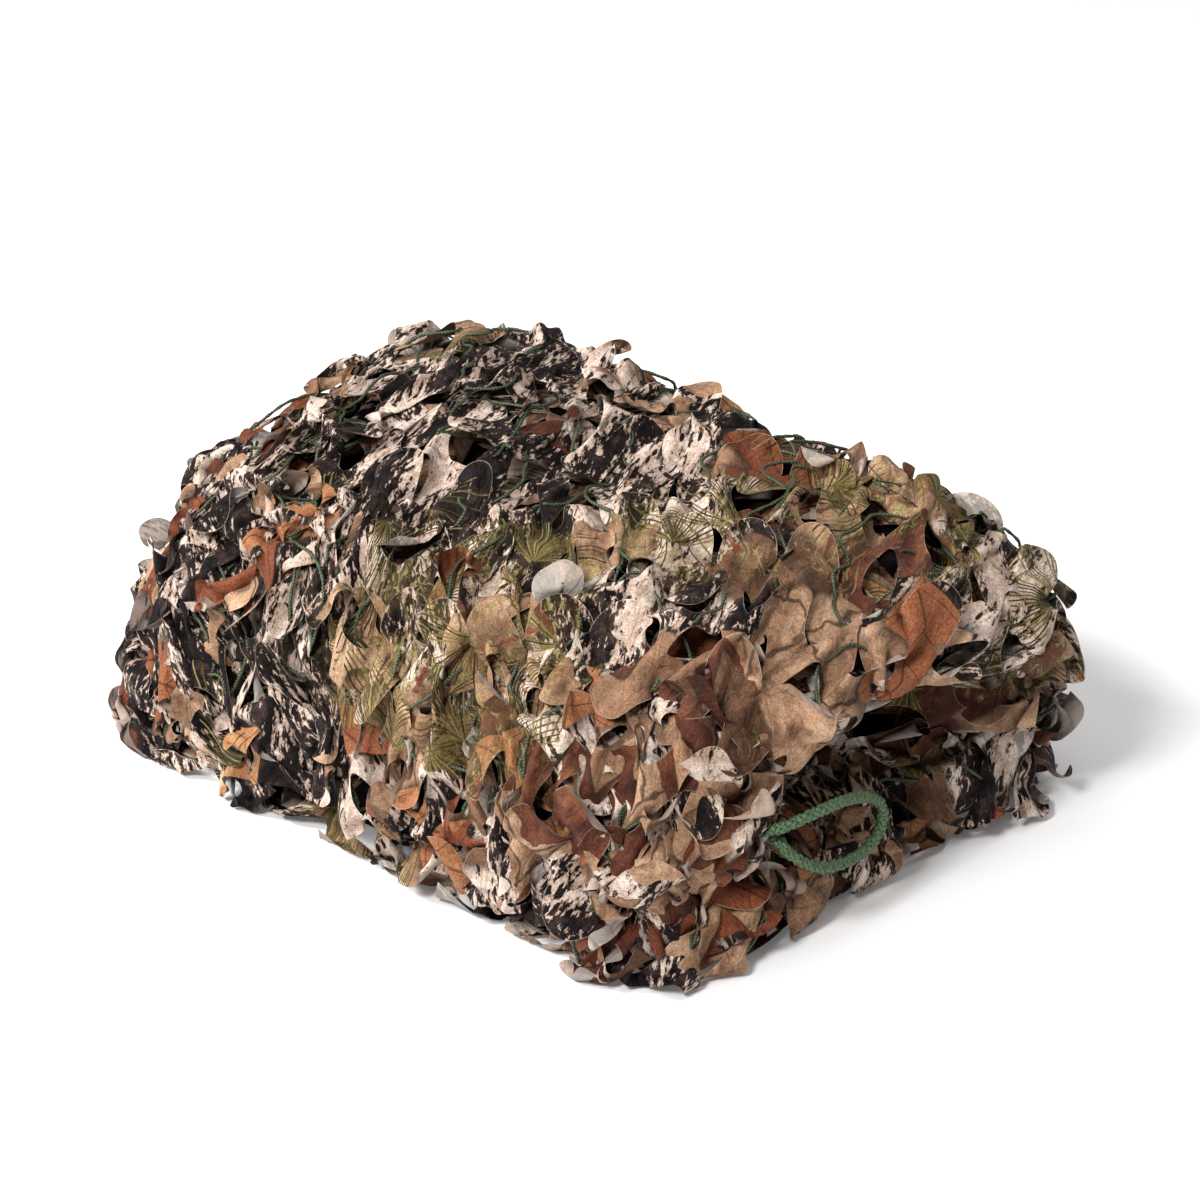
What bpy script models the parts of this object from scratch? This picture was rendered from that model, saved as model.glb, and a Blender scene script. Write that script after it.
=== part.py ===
"""A leaf-cut camouflage net, folded up into a low bundle, with the cord loop sewn to one of its corners.

The net is doubled lengthwise into a thick band, and the band is then laid back and forth on itself. Its folds lie
at the two X ends, and its side edges at the two Y sides. All lengths are in metres; the bundle stands on z = 0 with
the origin in the middle of its underside, X along the band and Y across it.
"""

import math

import bmesh
import bpy
from mathutils import Vector

# The bundle
LENGTH = 0.478  # over the two X ends, where the folds reach furthest
WIDTH = 0.332  # over the two Y sides, at mid height
HEIGHT = 0.185  # at the top of the crown
LAYERS = 6
LAYER_THICKNESS = 0.0260  # a band of six plies, loosely laid
LAYER_GAP = 0.0030
PITCH = LAYER_THICKNESS + LAYER_GAP
STACK = LAYERS * LAYER_THICKNESS + (LAYERS - 1) * LAYER_GAP

# How the stack slumps
EDGE_ROUNDNESS = 3.4  # 2 is an ellipse across the bundle, and more is boxier
END_ROUNDNESS = 4.6
END_DROP = 0.20  # share of the height lost from the middle to an X end
SIDE_BOW = 0.045  # how much wider the bundle is halfway along than at its X ends
SIDE_BULGE = 0.030  # how much wider the middle layers spread than the lowest and the highest
CORNER_RADIUS = 0.088  # of the bundle seen from above
OUTER_STATION = 0.955  # where the side edges lie, as a share of half the width

# How far each end of a layer or fold stays inside the bundle's X end: near is -Y, far is +Y.
END_INSETS = [
    # side, lower layer, near, middle, far
    (-1, 0, 0.020, 0.010, 0.022),
    (+1, 0, 0.010, 0.034, 0.014),
    (-1, 1, 0.006, 0.002, 0.006),
    (+1, 2, 0.000, 0.032, 0.004),
    (-1, 3, 0.016, 0.004, 0.008),
    (+1, 4, 0.014, 0.002, 0.004),
    (-1, 5, 0.044, 0.022, 0.026),
]

# Soft swells and hollows of the top, which the layers beneath share in proportion to their height.
SWELLS = [
    # x, y, radius, rise
    (-0.100, 0.060, 0.110, 0.010),
    (0.130, 0.100, 0.070, 0.012),
    (0.030, -0.030, 0.055, -0.006),
    (-0.050, -0.100, 0.070, 0.007),
    (0.170, -0.080, 0.060, -0.008),
    (-0.190, -0.090, 0.090, -0.026),
]

# Facets
STATIONS = 16
STEPS_PER_LAYER = 8
STEPS_PER_FOLD = 8

# The braided cord loop at the corner of the net
CORD_DIAMETER = 0.0070
CORD_STEP = 0.0060  # between the points of the drawn tube
LOOP_ROUTE = [
    (0.2241, -0.0905, 0.0786),
    (0.2284, -0.0884, 0.0802),
    (0.2325, -0.0836, 0.0824),
    (0.2354, -0.0755, 0.0846),
    (0.2364, -0.0640, 0.0853),
    (0.2352, -0.0500, 0.0840),
    (0.2325, -0.0365, 0.0806),
    (0.2298, -0.0240, 0.0756),
    (0.2282, -0.0140, 0.0688),
    (0.2276, -0.0098, 0.0604),
    (0.2280, -0.0122, 0.0518),
    (0.2290, -0.0215, 0.0458),
    (0.2305, -0.0350, 0.0446),
    (0.2325, -0.0510, 0.0470),
    (0.2334, -0.0655, 0.0526),
    (0.2320, -0.0756, 0.0594),
    (0.2278, -0.0806, 0.0652),
    (0.2240, -0.0818, 0.0690),
]


def start_empty():
    """Clear the file, so that only the net is in it."""
    for old in list(bpy.data.objects):
        bpy.data.objects.remove(old, do_unlink=True)


def cloth_material(name, rgb, roughness):
    """A matt textile finish."""
    material = bpy.data.materials.new(name)
    material.use_nodes = True
    shader = material.node_tree.nodes["Principled BSDF"]
    shader.inputs["Base Color"].default_value = (*rgb, 1.0)
    shader.inputs["Roughness"].default_value = roughness
    shader.inputs["Metallic"].default_value = 0.0
    return material


def add_object(name, data, material):
    """Put finished mesh or curve data into the scene as one named piece."""
    piece = bpy.data.objects.new(name, data)
    bpy.context.scene.collection.objects.link(piece)
    data.materials.append(material)
    return piece


def along_side(near, middle, far, share):
    """A value that runs smoothly from near, at share -1, through middle to far, at share +1."""
    towards = far if share > 0 else near
    ease = (1 - math.cos(math.pi * min(abs(share), 1.0))) / 2
    return middle + (towards - middle) * ease


def corner_inset(y):
    """How far the rounded corners of the plan draw an X end in at this y."""
    into_corner = abs(y) - (WIDTH / 2 - CORNER_RADIUS)
    if into_corner <= 0:
        return 0.0
    return CORNER_RADIUS - math.sqrt(CORNER_RADIUS**2 - min(into_corner, CORNER_RADIUS) ** 2)


def end_positions(y):
    """The x at which each layer or fold ends, by (side, lower layer), for the section at this y."""
    share = y / (WIDTH / 2)
    inset = corner_inset(y)
    return {
        (side, layer): side * (LENGTH / 2 - inset - along_side(near, middle, far, share))
        for side, layer, near, middle, far in END_INSETS
    }


def section(y):
    """The middle line of the band, back and forth through the stack, as rows of (x, z, normal x, normal z)."""
    ends = end_positions(y)
    fold_radius = PITCH / 2
    fold_depth = fold_radius + LAYER_THICKNESS / 2
    line = []
    x = ends[(-1, 0)]
    for layer in range(LAYERS):
        z = LAYER_THICKNESS / 2 + layer * PITCH
        way = 1 if layer % 2 == 0 else -1
        last = layer == LAYERS - 1
        turn_x = ends[(way, layer)] - (0.0 if last else way * fold_depth)
        for step in range(STEPS_PER_LAYER):
            line.append((x + (turn_x - x) * step / STEPS_PER_LAYER, z, 0.0, way))
        if last:
            line.append((turn_x, z, 0.0, way))
            break
        for step in range(STEPS_PER_FOLD):
            angle = -math.pi / 2 + math.pi * step / STEPS_PER_FOLD
            out_x = way * math.cos(angle)
            out_z = math.sin(angle)
            centre_z = z + fold_radius
            line.append((turn_x + fold_radius * out_x, centre_z + fold_radius * out_z, -way * out_x, -way * out_z))
        x = turn_x
    return line


def top_height(x, y):
    """The height of the slumped stack's top over this spot."""
    across = (1 - min(abs(2 * y / WIDTH), 0.999) ** EDGE_ROUNDNESS) ** (1 / EDGE_ROUNDNESS)
    along = 1 - END_DROP * min(abs(2 * x / LENGTH), 1.0) ** END_ROUNDNESS
    swell = 0.0
    for centre_x, centre_y, radius, rise in SWELLS:
        apart = math.hypot(x - centre_x, y - centre_y) / radius
        swell += rise * math.exp(-apart * apart)
    return (HEIGHT + swell) * across * along


def slumped(x, y, z):
    """Where a point of the straight stack comes to lie once the stack has slumped."""
    share = z / STACK
    bow = SIDE_BOW * (1 - (2 * x / LENGTH) ** 2)
    spread = 1 + SIDE_BULGE * (math.sin(math.pi * share) - 1) + bow
    return Vector((x, y * spread, share * top_height(x, y)))


def station_y(index):
    """The sections stand closer together towards the two side edges."""
    share = 2 * index / (STATIONS - 1) - 1
    return OUTER_STATION * WIDTH / 2 * math.sin(share * math.pi / 2 * 0.86) / math.sin(math.pi / 2 * 0.86)


def make_folded_net():
    """Loft the band's section along Y as one closed body."""
    mesh = bmesh.new()
    rows = []
    for index in range(STATIONS):
        y = station_y(index)
        row = []
        for x, z, normal_x, normal_z in section(y):
            half = LAYER_THICKNESS / 2
            over = mesh.verts.new(slumped(x + normal_x * half, y, z + normal_z * half))
            under = mesh.verts.new(slumped(x - normal_x * half, y, z - normal_z * half))
            row.append((over, under))
        rows.append(row)

    for row, following in zip(rows, rows[1:]):
        for here in range(len(row) - 1):
            ahead = here + 1
            mesh.faces.new((row[here][0], row[ahead][0], following[ahead][0], following[here][0]))
            mesh.faces.new((row[here][1], following[here][1], following[ahead][1], row[ahead][1]))
        mesh.faces.new((row[0][0], following[0][0], following[0][1], row[0][1]))
        mesh.faces.new((row[-1][0], row[-1][1], following[-1][1], following[-1][0]))
    for row, first in ((rows[0], True), (rows[-1], False)):
        for (over, under), (next_over, next_under) in zip(row, row[1:]):
            loop = (over, under, next_under, next_over)
            mesh.faces.new(loop if first else loop[::-1])

    bmesh.ops.recalc_face_normals(mesh, faces=mesh.faces)
    bmesh.ops.triangulate(mesh, faces=mesh.faces)
    data = bpy.data.meshes.new("folded_net")
    mesh.to_mesh(data)
    mesh.free()
    add_object("folded_net", data, cloth_material("printed_polyester", (0.22, 0.16, 0.11), 0.85))


def smooth_route(points, step):
    """Points about one step apart on a smooth curve through the route's own points."""
    route = [Vector(p) for p in points]
    route = [2 * route[0] - route[1], *route, 2 * route[-1] - route[-2]]
    found = [route[1]]
    for before, start, end, after in zip(route, route[1:], route[2:], route[3:]):
        parts = max(1, round((end - start).length / step))
        for part in range(1, parts + 1):
            t = part / parts
            found.append(
                0.5
                * (
                    2 * start
                    + (end - before) * t
                    + (2 * before - 5 * start + 4 * end - after) * t**2
                    + (3 * start - before - 3 * end + after) * t**3
                )
            )
    return found


def make_corner_loop():
    """The loop of braided cord, both of whose ends are sewn into the edge of the net."""
    curve = bpy.data.curves.new("corner_loop", "CURVE")
    curve.dimensions = "3D"
    curve.bevel_depth = CORD_DIAMETER / 2
    curve.bevel_resolution = 3
    curve.render_resolution_u = 0
    curve.use_fill_caps = True
    points = smooth_route(LOOP_ROUTE, CORD_STEP)
    spline = curve.splines.new("POLY")
    spline.points.add(len(points) - 1)
    for point, place in zip(spline.points, points):
        point.co = (*place, 1.0)
    add_object("corner_loop", curve, cloth_material("braided_cord", (0.05, 0.15, 0.06), 0.75))


start_empty()
make_folded_net()
make_corner_loop()
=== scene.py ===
"""The looks of a folded leaf-cut camouflage net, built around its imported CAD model."""

import math
from itertools import product

import bmesh
import bpy
import numpy as np
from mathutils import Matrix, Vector
from mathutils.bvhtree import BVHTree


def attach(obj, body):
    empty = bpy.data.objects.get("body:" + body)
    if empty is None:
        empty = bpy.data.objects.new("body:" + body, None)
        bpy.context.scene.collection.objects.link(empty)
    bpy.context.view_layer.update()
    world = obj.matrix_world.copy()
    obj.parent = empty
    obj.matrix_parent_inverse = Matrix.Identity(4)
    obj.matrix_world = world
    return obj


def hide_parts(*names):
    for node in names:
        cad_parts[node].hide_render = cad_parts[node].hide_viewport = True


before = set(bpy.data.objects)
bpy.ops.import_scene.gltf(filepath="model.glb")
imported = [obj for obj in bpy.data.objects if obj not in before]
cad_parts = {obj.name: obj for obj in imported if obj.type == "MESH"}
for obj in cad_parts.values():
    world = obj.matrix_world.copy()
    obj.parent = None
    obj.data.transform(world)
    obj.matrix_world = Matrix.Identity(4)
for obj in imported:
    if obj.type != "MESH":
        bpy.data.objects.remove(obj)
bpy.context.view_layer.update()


# --- The camera -----------------------------------------------------------------------------------
# A long lens, 2.6 metres away, looks down on the near corner of the bundle at 25 degrees.

CAMERA_AZIMUTH, CAMERA_ELEVATION = math.radians(46), math.radians(25)
CAMERA_DISTANCE = 2.6
CAMERA_LENS = 144.9
CAMERA_SENSOR = 36
CAMERA_TARGET = Vector((0.0021, 0.0080, 0.0987))

camera = bpy.data.objects.new("camera", bpy.data.cameras.new("camera"))
bpy.context.scene.collection.objects.link(camera)
bpy.context.scene.camera = camera
towards_camera = Vector(
    (
        math.sin(CAMERA_AZIMUTH) * math.cos(CAMERA_ELEVATION),
        -math.cos(CAMERA_AZIMUTH) * math.cos(CAMERA_ELEVATION),
        math.sin(CAMERA_ELEVATION),
    )
)
camera.location = CAMERA_TARGET + CAMERA_DISTANCE * towards_camera
camera.rotation_euler = (-towards_camera).to_track_quat("-Z", "Y").to_euler()
camera.data.lens = CAMERA_LENS
camera.data.sensor_width = CAMERA_SENSOR


# --- The corner loop ------------------------------------------------------------------------------
# A short length of braided polypropylene cord, both of whose ends are sewn into the net's corner.
# Eight thick strands lie over and under each other, four each way round a core.

LOOP_DIAMETER = 0.0070
LOOP_ROUTE = [
    (0.2100, -0.0960, 0.0740),
    (0.2165, -0.0935, 0.0762),
    (0.2241, -0.0905, 0.0786),
    (0.2284, -0.0884, 0.0802),
    (0.2325, -0.0836, 0.0824),
    (0.2354, -0.0755, 0.0846),
    (0.2364, -0.0640, 0.0853),
    (0.2352, -0.0500, 0.0840),
    (0.2325, -0.0365, 0.0806),
    (0.2298, -0.0240, 0.0756),
    (0.2282, -0.0140, 0.0688),
    (0.2276, -0.0098, 0.0604),
    (0.2280, -0.0122, 0.0518),
    (0.2290, -0.0215, 0.0458),
    (0.2305, -0.0350, 0.0446),
    (0.2325, -0.0510, 0.0470),
    (0.2334, -0.0655, 0.0526),
    (0.2320, -0.0756, 0.0594),
    (0.2278, -0.0806, 0.0652),
    (0.2240, -0.0818, 0.0690),
    (0.2165, -0.0845, 0.0705),
    (0.2095, -0.0880, 0.0700),
]
LOOP_STEP = 0.0008  # between the rings of a strand
STRANDS_EACH_WAY = 4
STRAND_WIDTH = 0.0024
STRAND_THICKNESS = 0.0015
STRAND_SIDES = 6
STRAND_WEAVE = 0.42  # how far a strand rises and dips, as a share of its thickness
BRAID_PITCH = 0.017  # along the cord, for one turn of a strand
CORE_SIDES = 10
CORE_PLAY = 0.0004  # between the core and the strands
ROUTE_PARTS = 24  # steps between two of a route's points before they are evened out


def smooth_line(points, step):
    """Points about one step apart along a smooth curve through the given ones, and its length."""
    route = np.array(points, float)
    route = np.vstack([2 * route[0] - route[1], route, 2 * route[-1] - route[-2]])
    t = np.linspace(0, 1, ROUTE_PARTS, endpoint=False)[:, None]
    dense = [
        0.5
        * (
            2 * start
            + (end - before) * t
            + (2 * before - 5 * start + 4 * end - after) * t**2
            + (3 * start - before - 3 * end + after) * t**3
        )
        for before, start, end, after in zip(route, route[1:], route[2:], route[3:])
    ]
    dense = np.vstack([*dense, route[-2]])
    along = np.concatenate([[0], np.cumsum(np.linalg.norm(np.diff(dense, axis=0), axis=1))])
    marks = np.linspace(0, along[-1], max(2, round(along[-1] / step) + 1))
    return np.stack([np.interp(marks, along, dense[:, k]) for k in range(3)], axis=1), along[-1]


def unit(vectors):
    return vectors / np.maximum(np.linalg.norm(vectors, axis=-1, keepdims=True), 1e-12)


def frames_along(line):
    """Two directions across the line at each of its points, carried along it without twist."""
    tangent = unit(np.gradient(line, axis=0))
    first = np.cross(tangent[0], (0.3, 0.1, 1.0))
    across = np.empty_like(line)
    for k, way in enumerate(tangent):
        first = first - way * (first @ way)
        first = first / np.linalg.norm(first)
        across[k] = first
    return across, np.cross(tangent, across)


def tube(line, width, thickness, outward, sides):
    """Vertices, faces and end faces of a closed tube round a line, its flat side facing outward."""
    tangent = unit(np.gradient(line, axis=0))
    outward = unit(outward - tangent * np.sum(outward * tangent, axis=1, keepdims=True))
    sideways = np.cross(tangent, outward)
    turn = np.arange(sides) / sides * 2 * math.pi
    rings = (
        line[:, None]
        + np.cos(turn)[None, :, None] * sideways[:, None] * width / 2
        + np.sin(turn)[None, :, None] * outward[:, None] * thickness / 2
    )
    count = len(line)
    at = np.arange(count * sides).reshape(count, sides)
    turned = np.roll(at, -1, axis=1)
    quads = np.stack([at[:-1], at[1:], turned[1:], turned[:-1]], axis=-1).reshape(-1, 4)
    return rings.reshape(-1, 3), quads, (at[0], at[-1][::-1])


def joined_tubes(name, tubes):
    """One mesh object of many tubes, with the length along each and the way round it in a UV map."""
    places, quads, ends, lengths = [], [], [], []
    start = 0
    for (vertices, faces, caps), along in tubes:
        places.append(vertices)
        quads.append(faces + start)
        ends += [cap + start for cap in caps]
        lengths.append(along)
        start += len(vertices)
    mesh = bpy.data.meshes.new(name)
    faces = [*np.vstack(quads).tolist(), *[cap.tolist() for cap in ends]]
    mesh.from_pydata(np.vstack(places).tolist(), [], faces)
    mesh.shade_smooth()
    layer = mesh.uv_layers.new(name="along")
    corner = np.empty(len(mesh.loops), np.int32)
    mesh.loops.foreach_get("vertex_index", corner)
    layer.data.foreach_set("uv", np.vstack(lengths)[corner].astype(np.float32).ravel())
    piece = bpy.data.objects.new(name, mesh)
    bpy.context.scene.collection.objects.link(piece)
    return piece


loop_line, loop_length = smooth_line(LOOP_ROUTE, LOOP_STEP)
loop_across, loop_up = frames_along(loop_line)
loop_along = np.linspace(0, loop_length, len(loop_line))
braid_radius = LOOP_DIAMETER / 2 - STRAND_THICKNESS
round_strand = np.tile(np.arange(STRAND_SIDES) / STRAND_SIDES, len(loop_line))
strands = []
for way in (1, -1):
    for strand in range(STRANDS_EACH_WAY):
        turn = way * (loop_along / BRAID_PITCH + strand / STRANDS_EACH_WAY) * 2 * math.pi
        outward = np.cos(turn)[:, None] * loop_across + np.sin(turn)[:, None] * loop_up
        crossing = 2 * loop_along / BRAID_PITCH * STRANDS_EACH_WAY + way * 0.5
        weave = np.sin((crossing + strand) * math.pi)
        radius = braid_radius + STRAND_WEAVE * STRAND_THICKNESS * weave
        line = loop_line + outward * radius[:, None]
        shape = tube(line, STRAND_WIDTH, STRAND_THICKNESS, outward, STRAND_SIDES)
        strands.append((shape, np.stack([np.repeat(loop_along, STRAND_SIDES), round_strand], axis=1)))
core_width = 2 * braid_radius - CORE_PLAY
core = tube(loop_line, core_width, core_width, loop_up, CORE_SIDES)
strands.append((core, np.zeros((len(loop_line) * CORE_SIDES, 2))))
corner_loop = joined_tubes("braided_loop", strands)


def colour(code):
    """Linear colour from an sRGB hex value."""
    parts = [int(code[k : k + 2], 16) / 255 for k in (1, 3, 5)]
    return (*[p / 12.92 if p <= 0.04045 else ((p + 0.055) / 1.055) ** 2.4 for p in parts], 1)


def add(tree, kind, inputs, stops=(), **settings):
    """A new node with its settings, values, links and colour stops; gives back its first output in use."""
    made = tree.nodes.new("ShaderNode" + kind)
    for name, value in settings.items():
        setattr(made, name, value)
    for socket, value in inputs.items():
        if isinstance(value, bpy.types.NodeSocket):
            tree.links.new(value, made.inputs[socket])
        else:
            made.inputs[socket].default_value = value
    if stops:
        while len(made.color_ramp.elements) < len(stops):
            made.color_ramp.elements.new(0.5)
        for element, (place, code) in zip(made.color_ramp.elements, stops):
            element.position = place
            element.color = colour(code)
    return next(output for output in made.outputs if output.enabled)


# Braided polypropylene: bundles of dyed dark green filament, a little glossy. Each strand is streaked with
# light and dark green, and the light streaks are painted sheen for the filament's gloss. The streaks are 1.4
# mm long and a fraction of a millimetre wide.
BRAID_GREENS_AND_SHEEN = [(0.3, "#1e2b18"), (0.5, "#3b5434"), (0.7, "#5f7a52")]
STREAKS, STREAK_SCALE = (120, 3, 1), 6  # 720 for each metre along a strand and 18 for each turn round it

braid_green = bpy.data.materials.new("braided_polypropylene")
braid_green.use_nodes = True
tree = braid_green.node_tree
shader = tree.nodes["Principled BSDF"]
along = add(tree, "UVMap", {}, uv_map="along")
sheen_streak = add(tree, "Mapping", {"Vector": along, "Scale": STREAKS})
sheen_streak = add(tree, "TexNoise", {"Vector": sheen_streak, "Scale": STREAK_SCALE, "Detail": 3})
# painted sheen: lighter streaks along each strand over its dark green
green = add(tree, "ValToRGB", {"Fac": sheen_streak}, BRAID_GREENS_AND_SHEEN)
tree.links.new(green, shader.inputs["Base Color"])
shader.inputs["Roughness"].default_value = 0.5
corner_loop.data.materials.append(braid_green)

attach(corner_loop, "root")
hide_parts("corner_loop")


# --- The leaf-cut cloth ---------------------------------------------------------------------------
# Thin printed polyester, cut with rows of arches and sewn, bunched up, to a net of twine, so that its cuts
# open into leaf-shaped tongues and holes. The net is folded up, and its two outermost plies are laid here.

# The plies lie on the folded bundle's outside, which is sampled along rays from its middle. A place on it is
# a compass direction and the way travelled from the top's middle, over the top and down the side.
MIDDLE = np.array([0.0, 0.0, 0.085])
RAYS_ROUND = 240
RAYS_DOWN = 130
STEEPEST_RAY = math.radians(-62)
FOOT_HEIGHT = 0.010
APRON = 0.003  # the width of floor that the lowest leaves may lie on
ARC_STEP = 0.002
ARC_STEPS = 260
HOLLOW_DEPTH = 0.050  # under the top fold's lip at the corner loop's end
HOLLOW_Y, HOLLOW_HALF_WIDTH = 0.008, 0.070
HOLLOW_Z, HOLLOW_HALF_HEIGHT = 0.082, 0.043
SHOULDERS = ((180, 24, 0.013), (30, 8, 0.008))  # compass degrees, degrees up and metres of looser cloth
SHOULDER_ROUND, SHOULDER_UP = 40, 18  # degrees over which a shoulder fades

# Near the floor the cloth hangs down from its widest place, at the front most of all.
FOOT_BULGE_HEIGHT, FOOT_FILL_HEIGHT = 0.045, 0.030
FRONT_FILL, END_FILL = 1.6, 0.3

# Where the cloth makes room for the corner loop: the middle, half the width and the rim of it, in Y and in Z.
LOOP_ROOM = ((-0.033, 0.047, 0.010), (0.066, 0.036, 0.012))
LOOP_ROOM_DEPTH = 0.004
LOOSEST_SIDE = 0.0155  # how far out past the bundle's widest outline a leaf may stand
LOOSEST_END = 0.005  # and how much further at the two X ends
LOWEST, HIGHEST = 0.0012, 0.2062

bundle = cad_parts["folded_net"]
bundle_mesh = bmesh.new()
bundle_mesh.from_object(bundle, bpy.context.evaluated_depsgraph_get())
bundle_mesh.transform(bundle.matrix_world)
bundle_tree = BVHTree.FromBMesh(bundle_mesh)
bundle_mesh.free()

ray_turns = np.arange(RAYS_ROUND) / RAYS_ROUND * 2 * math.pi
ray_tilts = np.linspace(math.pi / 2, STEEPEST_RAY, RAYS_DOWN)
reach = np.empty((RAYS_ROUND, RAYS_DOWN))
for row, turn in enumerate(ray_turns):
    for column, tilt in enumerate(ray_tilts):
        way = np.array([math.cos(turn) * math.cos(tilt), math.sin(turn) * math.cos(tilt), math.sin(tilt)])
        place, _, _, distance = bundle_tree.ray_cast(MIDDLE + way, -way)
        hollow = math.exp(-(((place.y - HOLLOW_Y) / HOLLOW_HALF_WIDTH) ** 4))
        hollow *= math.exp(-(((place.z - HOLLOW_Z) / HOLLOW_HALF_HEIGHT) ** 4))
        deep = HOLLOW_DEPTH * hollow * max(0.0, way[0]) * math.cos(tilt)
        reach[row, column] = 1 - distance - deep
        for way_round, way_up, rise in SHOULDERS:
            aside = (math.degrees(turn) - way_round + 180) % 360 - 180
            above = math.degrees(tilt) - way_up
            off = (aside / SHOULDER_ROUND) ** 2 + (above / SHOULDER_UP) ** 2
            reach[row, column] += rise * math.exp(-off)
    low = MIDDLE[2] + reach[row] * np.sin(ray_tilts) < FOOT_BULGE_HEIGHT
    bulge = np.max((reach[row] * np.cos(ray_tilts))[low])
    for column, tilt in enumerate(ray_tilts):
        if MIDDLE[2] + bulge * math.tan(tilt) < FOOT_FILL_HEIGHT:
            upright = min(bulge / max(math.cos(tilt), 0.01), MIDDLE[2] / -math.sin(tilt))
            share = min(1, FRONT_FILL * max(0, -math.sin(turn)) + END_FILL * max(0, math.cos(turn)))
            reach[row, column] += share * max(0, upright - reach[row, column])
for _ in range(2):
    reach = (np.roll(reach, 1, 0) + 2 * reach + np.roll(reach, -1, 0)) / 4
    reach[:, 1:-1] = (reach[:, :-2] + 2 * reach[:, 1:-1] + reach[:, 2:]) / 4

profile_table = np.empty((RAYS_ROUND, ARC_STEPS, 2))
foot_arc = np.empty(RAYS_ROUND)
arc_marks = np.arange(ARC_STEPS) * ARC_STEP
for row in range(RAYS_ROUND):
    outward = reach[row] * np.cos(ray_tilts)
    height = MIDDLE[2] + reach[row] * np.sin(ray_tilts)
    kept = max(2, int(np.argmax(height < FOOT_HEIGHT)))
    outward = np.append(outward[:kept], outward[kept - 1] + np.array([0.5, 1.0]) * APRON)
    height = np.append(height[:kept], [FOOT_HEIGHT * 0.6, FOOT_HEIGHT * 0.4])
    arc = np.append(0, np.cumsum(np.hypot(np.diff(outward), np.diff(height))))
    foot_arc[row] = arc[kept - 1]
    profile_table[row, :, 0] = np.interp(arc_marks, arc, outward)
    profile_table[row, :, 1] = np.interp(arc_marks, arc, height)
widest = profile_table[:, :, 0].max(axis=1)
outline = np.stack([widest * np.cos(ray_turns), widest * np.sin(ray_turns)], axis=1)
outline_steps = np.linalg.norm(np.roll(outline, -1, 0) - outline, axis=1)
outline_arc = np.append(0, np.cumsum(outline_steps))
whole_turns = np.append(ray_turns, 2 * math.pi)


def looked_up(table, rows, columns):
    """Values between a table's entries; its rows go round and come back to the first."""
    row, column = np.floor(rows).astype(int), np.clip(columns, 0, table.shape[1] - 1.001)
    low = column.astype(int)
    extra = (1,) * (table.ndim - 2)
    up, on = (rows - row).reshape(-1, *extra), (column - low).reshape(-1, *extra)
    a, b = row % len(table), (row + 1) % len(table)
    first = table[a, low] * (1 - on) + table[a, low + 1] * on
    second = table[b, low] * (1 - on) + table[b, low + 1] * on
    return first * (1 - up) + second * up


def on_bundle(turn, arc):
    """The places on the bundle in a compass direction and at a way from the top's middle."""
    found = looked_up(profile_table, turn / (2 * math.pi) * RAYS_ROUND, arc / ARC_STEP)
    return np.stack([found[:, 0] * np.cos(turn), found[:, 0] * np.sin(turn), found[:, 1]], axis=1)


def over_top(across):
    """The lay of a sheet spread over the top and hanging down all round."""
    return on_bundle(np.arctan2(across[:, 1], across[:, 0]), np.hypot(across[:, 0], across[:, 1]))


def round_side(across):
    """The lay of a sheet standing on the floor and going round the side, x along and y up."""
    turn = np.interp(across[:, 0] % outline_arc[-1], outline_arc, whole_turns)
    foot = np.interp(turn, whole_turns, np.append(foot_arc, foot_arc[0]))
    return on_bundle(turn, foot - across[:, 1])


def kept_near(places, inside, outside):
    """Places moved so that none is deeper in the bundle, or further out, than is given in metres."""
    out = places - MIDDLE
    level = np.hypot(out[:, 0], out[:, 1])
    distance = np.linalg.norm(out, axis=1)
    turn = np.arctan2(out[:, 1], out[:, 0]) / (2 * math.pi) * RAYS_ROUND
    tilt = np.arctan2(out[:, 2], level)
    column = (math.pi / 2 - tilt) / (math.pi / 2 - STEEPEST_RAY) * (RAYS_DOWN - 1)
    surface = looked_up(reach, turn, column)
    by_loop = 1.0 * (places[:, 0] > 0)
    for axis, (middle, half, rim) in zip((1, 2), LOOP_ROOM):
        by_loop *= np.clip((half - np.abs(places[:, axis] - middle)) / rim, 0, 1)
    outside = outside * (1 - by_loop) - LOOP_ROOM_DEPTH * by_loop
    wanted = np.clip(distance, surface - inside, surface + outside)
    places = MIDDLE + out * (wanted / distance)[:, None]
    level = np.hypot(places[:, 0], places[:, 1])
    limit = looked_up(np.stack([widest, widest], 1), turn, turn * 0) + LOOSEST_SIDE
    limit += LOOSEST_END * (places[:, 0] / level) ** 2
    places[:, :2] *= np.minimum(1, limit / level)[:, None]
    places[:, 2] = np.clip(places[:, 2], LOWEST, HIGHEST)
    return places


# Printed polyester: a matt plain weave with the faintest gloss, printed on one side with a woodland of bark,
# leaves and needles and paler on the other. Its cuts are sealed by heat, which leaves a thin light edge, and
# fine creases from packing catch the light. Scales are per metre of flat cloth, so 330 is one in 3 mm.
CELL_EDGES = {"voronoi_dimensions": "2D", "feature": "DISTANCE_TO_EDGE"}
BARK_LEAN = 0.5  # from the cloth's width, in radians
FLECK_SCALE, FLECK_STRETCH = 330, 0.4  # flecks 3 mm wide and 8 mm long
FURROW_SCALE, FURROW_STRETCH = 150, 0.14  # furrows 7 mm wide and 50 mm long
PATCH_SCALE = 34  # lighter and darker places 30 mm wide and 75 mm long
FURROW_WEIGHT, PATCH_WEIGHT, LEVEL_DROP = 0.7, 0.9, 0.8
DASH_SCALE, DASH_EDGE = 230, (0.34, 0.26)  # dashes 3 mm wide and 7 mm long, their edges in cells of 4 mm
DASH_CROWDING, DASH_START = 2.4, -0.98
BLACK_FROM, BLACK_FULL = 0.550, 0.562
BROWN_FROM, BROWN_FULL = 0.48, 0.57
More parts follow.
